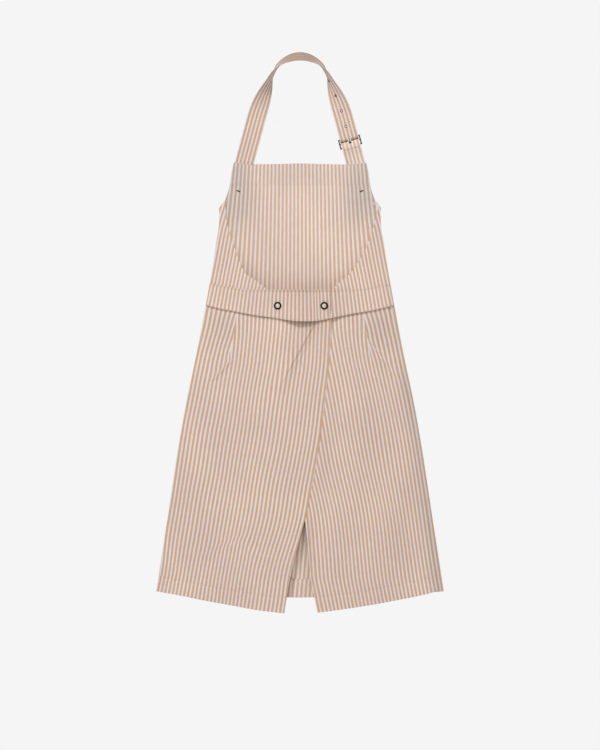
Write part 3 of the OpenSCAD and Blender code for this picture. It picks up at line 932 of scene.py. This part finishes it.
# Scooped edge of the low back, from its tip by the arm down to the band, as distances from the middle
SCOOP = {
    -1: [(149.6, -277), (148.5, -300), (147, -318), (138.8, -352), (127, -382), (116.5, -414), (104, -430),
         (88, -439), (73, -451), (64, -460)],
    1: [(152, -277), (155.5, -290), (156, -298), (149, -325), (142, -346), (129.5, -382), (115, -402),
        (101.5, -426), (80, -442), (63, -458)],
}


def scoop_line(side, out=0.0):
    """The scoop of one side as a smooth line, moved out square to itself."""
    k = np.array(SCOOP[side], float)
    for _ in range(4):
        # Each round cuts the corners and keeps the ends
        cut = np.stack([0.75 * k[:-1] + 0.25 * k[1:], 0.25 * k[:-1] + 0.75 * k[1:]], 1).reshape(-1, 2)
        k = np.concatenate([k[:1], cut, k[-1:]])
    d = unit(np.gradient(k, axis=0))
    return k + out * np.stack([-d[:, 1], d[:, 0]], 1)


def along_line(points, n):
    step = np.concatenate([[0], np.cumsum(np.linalg.norm(np.diff(points, axis=0), axis=1))])
    at = np.linspace(0, step[-1], n)
    return np.stack([np.interp(at, step, points[:, 0]), np.interp(at, step, points[:, 1])], 1)


def yoke_outer(n):
    """Opposite side of a yoke: down the side seam, then in along the band."""
    z = np.linspace(-294.5, -448, 24)
    seam = np.stack([half_width(z), z], 1)
    x = np.linspace(half_width(-448.0) - 6, 56, 20)
    low = np.stack([x, band_top(x) - 3.2], 1)
    return along_line(np.concatenate([seam, low]), n)


def between(inner, outer, shares, side):
    """x and z of a grid that goes from the scoop's line to another one in those shares."""
    f = np.array(shares)[None, :, None]
    xz = inner[:, None] * (1 - f) + outer[:, None] * f
    return side * xz[..., 0], xz[..., 1]


def yoke(name, node, side, depth, shift):
    n = 58
    shares = (0, 0.012, 0.05, 0.12, 0.22, 0.34, 0.46, 0.58, 0.7, 0.82, 0.93, 0.985, 1)
    x, z = between(along_line(scoop_line(side), n), yoke_outer(n), shares, side)
    p = np.stack([x, depth(x, z), z], -1)
    obj = cloth(name, p, BACK * -side, yoke_stripes(x, z, side, shift), z, COTTON)
    return stand_in(obj, node)


def yoke_facing(name, node, side, depth):
    n = 44
    inner, outer = (along_line(scoop_line(side, out), n)[2:] for out in (0.0, SCOOP_FACING))
    outer[:, 1] = np.maximum(outer[:, 1], band_top(outer[:, 0]) - 2)
    outer[:, 0] = np.minimum(outer[:, 0], half_width(outer[:, 1]) - 9)
    x, z = between(inner, outer, (0.0, 0.04, 0.3, 0.6, 0.9, 0.97, 1), side)
    p = np.stack([x, depth(x, z) + 0.75, z], -1)
    obj = cloth(name, p, BACK * -side, x * 0.97 + 0.1 * z, z, COTTON_LIT, half=FACING_PLY)
    return stand_in(obj, node)


# How far each wrap's stripes lie off those of the front, and the left yoke's off its band's
LEFT_SHIFT, RIGHT_SHIFT, YOKE_SHIFT = 0.6, -0.8, -2.05
left_yoke = yoke("left_yoke_cloth", "left_back_yoke", -1, over_yoke, LEFT_SHIFT + YOKE_SHIFT)
right_yoke = yoke("right_yoke_cloth", "right_back_yoke", 1, under_yoke, RIGHT_SHIFT)
left_facing = yoke_facing("left_yoke_facing_cloth", "left_yoke_facing", -1, over_yoke)
right_facing = yoke_facing("right_yoke_facing_cloth", "right_yoke_facing", 1, under_yoke)

# ---- Bands of the two wraps ----


def band(name, node, panel, length, side, s_shift):
    us = spaced(0, 1, 4.2 / length, (0.25 / length, 1.2 / length, 1 - 1.2 / length, 1 - 0.25 / length))
    vs = spaced(0, 1, 4.0 / 60, (0.015, 0.03, 0.047, 0.07, 0.095, 0.95, 0.97, 0.985))
    p = panel.grid(us, vs)
    x, z = p[..., 0], p[..., 2]
    x_end = BAND_END_LEFT if side == "left" else BAND_END_RIGHT
    half = band_half(vs, len(us)) * (0.5 + 0.5 * ease(np.abs(x - x_end) / 4))
    # Painted shade: the lapped middle is darkened a little, most of all along its top seam
    seam = bell(band_top(x) - 2.8 - z, 1.5)
    painted_shade = -0.16 * bell(x - 4, 42) - (0.18 + 0.4 * bell(x - LAP_MID, 62, 4)) * seam
    obj = cloth(name, p, BACK, band_stripes(x, z) + s_shift, z, COTTON, half=half, painted_shade=painted_shade)
    stitch_rows[side] += [panel.row(row_across(0.006, 0.994, 90, v), 0.02 - BAND_PLY) for v in (0.04, 0.96)]
    return stand_in(obj, node)


left_seam, right_seam = seams(0.3)
left_band_panel = Panel(left_seam, lambda z: BAND_END_LEFT + (z - WAIST_Z) * 0.025, band_top, band_bottom,
                        over_band, BACK)
right_band_panel = Panel(lambda z: BAND_END_RIGHT + 0 * z, right_seam, lambda x: band_top(x) - 0.3,
                         lambda x: band_bottom(x) + 1.2 * (1 - ease((x - 50) / 14)), under_band, BACK)
left_band = band("left_waistband_cloth", "left_waistband", left_band_panel, 246, "left", LEFT_SHIFT)
right_band = band("right_waistband_cloth", "right_waistband", right_band_panel, 249, "right", RIGHT_SHIFT)
end_row = [(0.991, v) for v in np.linspace(0.05, 0.95, 14)]
stitch_rows["left"].append(left_band_panel.row(end_row, 0.02 - BAND_PLY))

# ---- Skirt wraps ----


def skirt_painted_shade(x, z, side):
    """Painted shade: dark under the band and along the creases; greyer under the band's ends and down the
    right seam.
    """
    d = band_bottom(x) - z
    crevice_shade = 0.9 * fall(d, 1.8) + 0.8 * bell(x - 14, 37, 4) * fall(d, 9)
    out, fade = tip_fold(x, z, side)
    crevice_shade = crevice_shade + 0.4 * fade * bell(out + 1, 2.4)
    if side < 0:
        off, fade = beside(x, z, *PULL)
        line = 0.95 * fade * bell(off - 0.8, 1.7)
        return 0.55 * bell(x + 158, 36) * bell(z + 530, 42) - np.minimum(crevice_shade + line, 1)
    grey = 0.7 * bell(x - 168, 40) * bell(z + 535, 45)
    grey = np.maximum(grey, 0.6 * (1 - near_seam(x, z, 42)) * ease((-560 - z) / 90))
    return grey - np.minimum(crevice_shade, 1)


def wrap(name, node, panel, side, stripes, key, fine=()):
    """A skirt wrap with its turned-in free edge and hem, and a dart below the band."""
    dart_u, hem_v = 1 - DART_U, 1 - (HEM_H - 2) / SKIRT_H
    at_u = (0.004, dart_u - 0.008, dart_u, dart_u + 0.008, *fine, 0.996)
    us, u_lift = folded(spaced(0, 1, 5.0 / SKIRT_W, at_u), SKIRT_W, EDGE_TURN)
    at_v = (hem_v - 0.0028, hem_v, hem_v + 0.0028, 0.998)
    vs, v_lift = folded(spaced(0, 1, 5.5 / SKIRT_H, at_v), SKIRT_H, HEM_H)
    if side > 0:
        us, u_lift = (1 - us)[::-1], u_lift[::-1]
    p = panel.grid(us, vs, u_lift, v_lift)
    x, z = p[..., 0], p[..., 2]
    s_out, s_in = stripes(x, z, True), stripes(x, z, False)
    # Left: outboard columns come first; right: they come after the dart
    split = int(np.argmin(np.abs(us - (DART_U if side < 0 else dart_u))))
    first, second = (s_out, s_in) if side < 0 else (s_in, s_out)
    run = np.broadcast_to(cut_length(vs, v_lift, SKIRT_H), first.shape)
    obj = cloth(name, p, BACK, first, run, COTTON, s_after=second, split=split, painted_shade=skirt_painted_shade(x, z, side))
    ends = (0.003, 0.993) if side < 0 else (0.007, 0.997)
    stitch_rows[key].append(panel.row(row_across(*ends, 90, hem_v), -RAISE + 0.1))
    free = 1 - 8.0 / SKIRT_W if side < 0 else 8.0 / SKIRT_W
    stitch_rows[key].append(panel.row([(free, v) for v in np.linspace(0.1, 0.995, 150)], -RAISE))
    return stand_in(obj, node)


def wrap_top(x):
    return band_top(x) - 4.4


left_seam, right_seam = seams()
left_skirt_panel = Panel(left_seam, left_edge, wrap_top, left_hem, over_skirt, BACK)
right_skirt_panel = Panel(right_edge, right_seam, wrap_top, right_hem, under_skirt, BACK)
# Closer columns where the left wrap's crease runs
crease_columns = tuple(np.arange(0.60, 0.93, 2.0 / SKIRT_W))
left_skirt = wrap("left_skirt_cloth", "left_skirt_wrap", left_skirt_panel, -1,
                  skirt_stripes(left_edge, -1, 0.0), "left", crease_columns)
right_skirt = wrap("right_skirt_cloth", "right_skirt_wrap", right_skirt_panel, 1,
                   skirt_stripes(right_edge, 1, 2.0), "right")

# ---- Neck strap ----
# Radii and angles in degrees of the arch and of the arcs beside it, and the arch's top; at the top the
# strap is turned by TURN degrees, which fade out over TURN_L
ARCH_R, ARCH_A, SIDE_R, SIDE_A, ARCH_TOP, TURN, TURN_L = 54.0, 60.0, 416.0, 15.0, 9.3, 119.0, 185.0
STRAP_HALF, TOPSTITCH, STRAP_LOW_Z = 19.0, 16.4, -205.6
LEG_A = ARCH_A + SIDE_A
ARCH_RAD, LEG_RAD = math.radians(ARCH_A), math.radians(LEG_A)
ARCH_L, SIDE_L = ARCH_R * ARCH_RAD, SIDE_R * math.radians(SIDE_A)


def on_arch(a):
    return ARCH_R * math.sin(a), ARCH_TOP - ARCH_R * (1 - math.cos(a))


def on_side(a):
    x, z = on_arch(ARCH_RAD)
    return x + SIDE_R * (math.sin(a) - math.sin(ARCH_RAD)), z + SIDE_R * (math.cos(a) - math.cos(ARCH_RAD))


SIDE_END = on_side(LEG_RAD)
STRAP_L = ARCH_L + SIDE_L + (SIDE_END[1] - STRAP_LOW_Z) / math.sin(LEG_RAD)
STRAP_Y, BUCKLE_S, BACK_Y, TAIL_Y, TAIL_L, BAR_GAP = 1.6, STRAP_L - 45, 2.9, 3.6, 35.0, 8.8
EYELET_PITCH, HOLE_R, NOTCH_W = 32.5, 2.2, 4.4


def slope(s):
    """The strap's slope in degrees, at a distance from the top of the arch."""
    return ARCH_A * min(s / ARCH_L, 1) + SIDE_A * min(max((s - ARCH_L) / SIDE_L, 0), 1)


def middle(s):
    a = math.radians(slope(s))
    if s < ARCH_L:
        return on_arch(a)
    if s < ARCH_L + SIDE_L:
        return on_side(a)
    d = s - ARCH_L - SIDE_L
    return SIDE_END[0] + d * math.cos(a), SIDE_END[1] - d * math.sin(a)


def cosine_ease(f):
    return (1 - math.cos(math.pi * min(max(f, 0), 1))) / 2


def strap_depth(s, side):
    """The right leg swings out of the back, then dives through the buckle and goes on as the tail."""
    y = STRAP_Y * cosine_ease((s - ARCH_L) / SIDE_L)
    if side < 0:
        return y
    y -= BACK_Y * cosine_ease((s - BUCKLE_S + 60) / 45)
    return y + (BACK_Y + TAIL_Y) * cosine_ease((s - BUCKLE_S + BAR_GAP) / (BAR_GAP - 0.6))


def strap_frame(q):
    """Centre, direction across and outward normal of the long strap at q, from its left end to its tail."""
    side, s = (1 if q >= 0 else -1), abs(q)
    a = math.radians(slope(s))
    turn = math.radians(TURN * (1 + math.cos(math.pi * s / TURN_L)) / 2 if s < TURN_L else 0)
    rise = strap_depth(s + 0.5, side) - strap_depth(s - 0.5, side)
    across = np.array([-side * math.cos(turn) * math.sin(a), math.sin(turn), -math.cos(turn) * math.cos(a)])
    along = unit(np.array([side * math.cos(a), rise, -math.sin(a)]))
    x, z = middle(s)
    return np.array([side * x, strap_depth(s, side), z]), across, side * np.cross(along, across)


def cup(q):
    """Where the strap turns edge-on its section bows like a shallow gutter."""
    return 5.2 * math.exp(-(((abs(q) - 60.8) / 24) ** 2))


def on_strap(q, a):
    """Point of the long strap at q, a to the side of its middle, and the outward normal there."""
    c, across, out = strap_frame(q)
    return c + across * a + out * cup(q) * (a / STRAP_HALF) ** 2, out


def mirrored(*right):
    return np.array([-v for v in right[::-1]] + [0.0, *right])


def round_off(qs, offsets, centre):
    """Moves the grid near an eyelet so that its square cells close round a circle."""
    dq, da = np.meshgrid(qs - centre, offsets, indexing="ij")
    square = np.maximum(np.abs(dq), np.abs(da))
    length = np.hypot(dq, da)
    factor = np.where(length > 1e-6, square / np.maximum(length, 1e-6), 1)
    factor = 1 + (factor - 1) * (1 - ease((square - 3.6) / 2.4))
    return dq * factor + centre, da * factor


eyelets = [BUCKLE_S - i * EYELET_PITCH for i in range(1, 5)]
ROUND_HOLE = (1.1, HOLE_R, 2.9, 3.6, 5.2)
tongue_hole = (BUCKLE_S - 7.2, BUCKLE_S + 0.8)
LEFT_END, RIGHT_END = -(STRAP_L + 5.5), BUCKLE_S + TAIL_L
# Closer rows where the strap dives through the buckle
fine_part = [BUCKLE_S - 12 + k for k in range(16)] + [*tongue_hole]
at_holes = {round(e + r, 4) for e in eyelets for r in mirrored(*ROUND_HOLE)}
extra = tuple(sorted(at_holes | {round(v, 4) for v in fine_part}))
qs = spaced(LEFT_END, RIGHT_END, 3.0, (LEFT_END + 1.0, *extra, RIGHT_END - 1.0))
EDGE_COLUMNS = (15.6, 17.4, 18.4, STRAP_HALF)
offsets = mirrored(*ROUND_HOLE, 7.6, 10.0, 12.8, *EDGE_COLUMNS)
place_q, place_a = np.meshgrid(qs, offsets, indexing="ij")
for e in eyelets:
    close = np.abs(qs - e) < 6.2
    dq, da = round_off(qs, offsets, e)
    place_q[close] = dq[close]
    place_a[close] = da[close]
p = np.array([[on_strap(q, a)[0] for q, a in zip(*row)] for row in zip(place_q, place_a)])
# The left end lies between the bib and its facing
sewn = ease((-STRAP_L + 6 - place_q) / 6)
p[..., 1] += (front_depth(p[..., 0], p[..., 2]) - p[..., 1]) * sewn
mid_q, mid_a = ((v[:-1] + v[1:]) / 2 for v in (qs[:, None], offsets))
in_hole = (mid_q > tongue_hole[0]) & (mid_q < tongue_hole[1])
for e in eyelets:
    in_hole |= np.abs(mid_q - e) < HOLE_R
keep = ~(in_hole & (np.abs(mid_a) < HOLE_R))
# The left end is pressed thin where it is sewn in, and topstitching pulls two grooves along the strap
edge_fade = np.sqrt(np.clip((STRAP_HALF + 0.2 - np.abs(offsets)) / 1.6, 0.08, 1))
half = np.outer(0.5 - 0.26 * ease((-STRAP_L + 7 - qs) / 10), edge_fade)
half = half - 0.13 * bell(np.abs(offsets) - TOPSTITCH, 0.9)
wear = np.clip((np.abs(place_a) - 14) / 5, 0, 1)
# The strap is a little browner all along; painted shade darkens the underside of the arch, and the strap
# where it dives through the buckle
painted_shade = -0.12 - 0.75 * ease((58 - np.abs(place_q)) / 38) - 0.8 * bell(place_q - BUCKLE_S + 3.4, 1.6)
strap_obj = cloth("neck_strap_cloth", p, FRONT, place_a + STRAP_HALF, place_q, COTTON, half=half, keep=keep,
                  wear=wear, painted_shade=painted_shade)
stand_in(strap_obj, "neck_strap")
for offset in (-TOPSTITCH, TOPSTITCH):
    run = [on_strap(q, offset) for q in np.arange(LEFT_END + 7, RIGHT_END - 2, 2.0)]
    line, out = (np.array(v) for v in zip(*run))
    stitch_rows["strap"] += [(line + out * 0.42, out), (line - out * 0.42, -out)]

# ---- Short strap folded round the buckle's centre bar ----
CENTRE = middle(BUCKLE_S)
TILT = math.radians(90 - LEG_A)


def by_buckle(x, y, z):
    """Point across, behind and up the right leg from the buckle's centre bar."""
    up, across = CENTRE[1] + x * math.sin(TILT) + z * math.cos(TILT), CENTRE[0] + x * math.cos(TILT)
    return np.stack([across - z * math.sin(TILT), STRAP_Y + y, up], -1)


# The strap's line as (depth, height): up its outer ply, round the bar and down its inner ply
outer_ply = [(-0.3, -52.5), (-0.3, -46), (-0.32, -38), (-0.34, -30), (-0.7, -25), (-1.9, -20), (-3.2, -16),
             (-3.85, -12.5), (-3.95, -9), (-3.9, -6), (-3.4, -3), (-2.5, -1)]
LOOP_R = 2.1
turns = [math.radians(a) for a in range(170, -91, -13)]
loop = [(LOOP_R * math.cos(a), LOOP_R * math.sin(a)) for a in turns]
inner_ply = [(-0.9, -3.4), (-2.4, -5.2), (-3.05, -7.4), (-3.15, -9.5), (-3.1, -12.5), (-2.4, -16),
             (-1.0, -20), (0.1, -25), (0.3, -30), (0.3, -38), (0.3, -46), (0.3, -52.5)]
path = np.array(outer_ply + loop + inner_ply)
offsets = mirrored(NOTCH_W / 2, 5.6, 9.0, 12.4, *EDGE_COLUMNS)
x, y = np.meshgrid(offsets, path[:, 0])
_, z = np.meshgrid(offsets, path[:, 1])
# The lower ends follow the bib's level top edge, tucked in behind its facing
z = z - x * math.tan(TILT) * np.clip((-30 - z) / 22.5, 0, 1)
sewn = ease((-34 - z) / 8)
p = by_buckle(x, y, z)
p[..., 1] += (front_depth(p[..., 0], p[..., 2]) + 0.15 * y - p[..., 1]) * sewn
mid = (path[:-1] + path[1:]) / 2
keep = np.ones((len(path) - 1, len(offsets) - 1), bool)
in_notch = (mid[:, 1] > -2.9) & (mid[:, 0] > -3.5)
keep[np.ix_(in_notch, np.abs((offsets[:-1] + offsets[1:]) / 2) < NOTCH_W / 2)] = False
step = np.concatenate([[0], np.cumsum(np.linalg.norm(np.diff(path, axis=0), axis=1))])
# Painted shade darkens the short strap over the top of its fold round the bar
painted_shade = -np.broadcast_to(np.clip((path[:, 1] - 0.6) / 1.2, 0, 1)[:, None], x.shape)
tab_obj = cloth("buckle_strap_cloth", p, BACK, x + STRAP_HALF, np.broadcast_to(step[:, None], x.shape),
                COTTON_LIT, keep=keep, half=0.27 - 0.11 * sewn, painted_shade=painted_shade)
stand_in(tab_obj, "buckle_strap")


def tab_row(x, y, z, *own):
    """A stitch row on the outer ply of the short strap."""
    line = by_buckle(x, y, z)
    stitch_rows["strap"].append((line, np.tile([0.0, -1.0, 0.0], (len(line), 1)), *own))


for row_z in (-11.5, -13.5):
    tab_row(np.linspace(-17, 17, 20), np.full(20, -4.15), np.full(20, row_z), (2.6, 2.1, 0.34))
outer = np.array(outer_ply)
for offset in (-TOPSTITCH, TOPSTITCH):
    z = np.linspace(-16, -43, 14)
    tab_row(np.full(14, offset), np.interp(z, outer[:, 1], outer[:, 0]) - 0.3, z)

# ---- Stitches; the front's ride with the front's body, and the rest are baked in place ----
front_stitches, left_stitches, right_stitches, strap_stitches = (
    stitch_mesh(name, stitch_rows[key], THREAD)
    for name, key in (("front_stitches", "front"), ("left_wrap_stitches", "left"),
                      ("right_wrap_stitches", "right"), ("strap_stitches", "strap"))
)
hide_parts("buckle_strap_stitching")
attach(front_stitches, "front")
for obj in (left_yoke, left_facing, left_band, left_skirt, left_stitches):
    with_wrap(obj)
for obj in (right_yoke, right_facing, right_band, right_skirt, right_stitches):
    with_wrap(obj)
for obj in (strap_obj, tab_obj, strap_stitches):
    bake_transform(obj)

# ---- Camera, floor and light, in metres ----
camera = bpy.data.objects.new("camera", bpy.data.cameras.new("camera"))
camera.data.lens, camera.data.sensor_width = 288.0, 36.0
camera.data.clip_start, camera.data.clip_end = 0.5, 60.0
camera.location = (0.0, -12.0, -0.628)
camera.rotation_euler = (math.radians(90), 0, 0)
bpy.context.scene.collection.objects.link(camera)
bpy.context.scene.camera = camera

FLOOR_Z, FLOOR_R, FLOOR_SIDES = -1.62, 3.0, 64
rim = [math.tau * k / FLOOR_SIDES for k in range(FLOOR_SIDES)]
floor_mesh = bpy.data.meshes.new("floor")
floor_mesh.from_pydata([(FLOOR_R * math.cos(a), FLOOR_R * math.sin(a), FLOOR_Z) for a in rim], [],
                       [list(range(FLOOR_SIDES))])
floor = bpy.data.objects.new("floor", floor_mesh)
bpy.context.scene.collection.objects.link(floor)
pale = Shader("pale_floor", Roughness=0.9)
cloud = pale.noise(pale.add("TexCoord", 3), 3.0)
pale.set(Base_Color=pale.mix(cloud, linear(236, 236, 236), linear(242, 242, 242)))
floor_mesh.materials.append(pale.material)

scene = bpy.context.scene
scene.view_settings.view_transform = "Standard"
world = bpy.data.worlds.new("studio")
scene.world = world
world.use_nodes = True
tree = world.node_tree
tree.nodes.clear()
# An even white light on the apron, and a pale grey behind it
output = tree.nodes.new("ShaderNodeOutputWorld")
mix = tree.nodes.new("ShaderNodeMixShader")
path_node = tree.nodes.new("ShaderNodeLightPath")
ambient, backdrop = tree.nodes.new("ShaderNodeBackground"), tree.nodes.new("ShaderNodeBackground")
ambient.inputs[0].default_value = (1.0, 1.0, 1.0, 1)
ambient.inputs[1].default_value = 0.36
backdrop.inputs[0].default_value = linear(245, 245, 245)
tree.links.new(path_node.outputs["Is Camera Ray"], mix.inputs[0])
tree.links.new(ambient.outputs[0], mix.inputs[1])
tree.links.new(backdrop.outputs[0], mix.inputs[2])
tree.links.new(mix.outputs[0], output.inputs[0])


def area_light(name, place, aim, size, power):
    data = bpy.data.lights.new(name, "AREA")
    data.shape, data.size, data.energy = "DISK", size, power
    obj = bpy.data.objects.new(name, data)
    obj.location = place
    obj.rotation_mode = "QUATERNION"
    obj.rotation_quaternion = (Vector(aim) - Vector(place)).to_track_quat("-Z", "Y")
    obj.visible_camera = False
    scene.collection.objects.link(obj)


area_light("frontal", (-0.5, -7.0, -0.2), (0, 0, -0.6), 1.0, 106)
area_light("key", (-0.7, -2.3, 2.2), (0, 0, -0.5), 0.7, 66)
area_light("front_side", (1.2, 3.4, 1.2), (0, 0, -0.6), 2.0, 62)

# ---- Last update of the scene ----
bpy.context.view_layer.update()
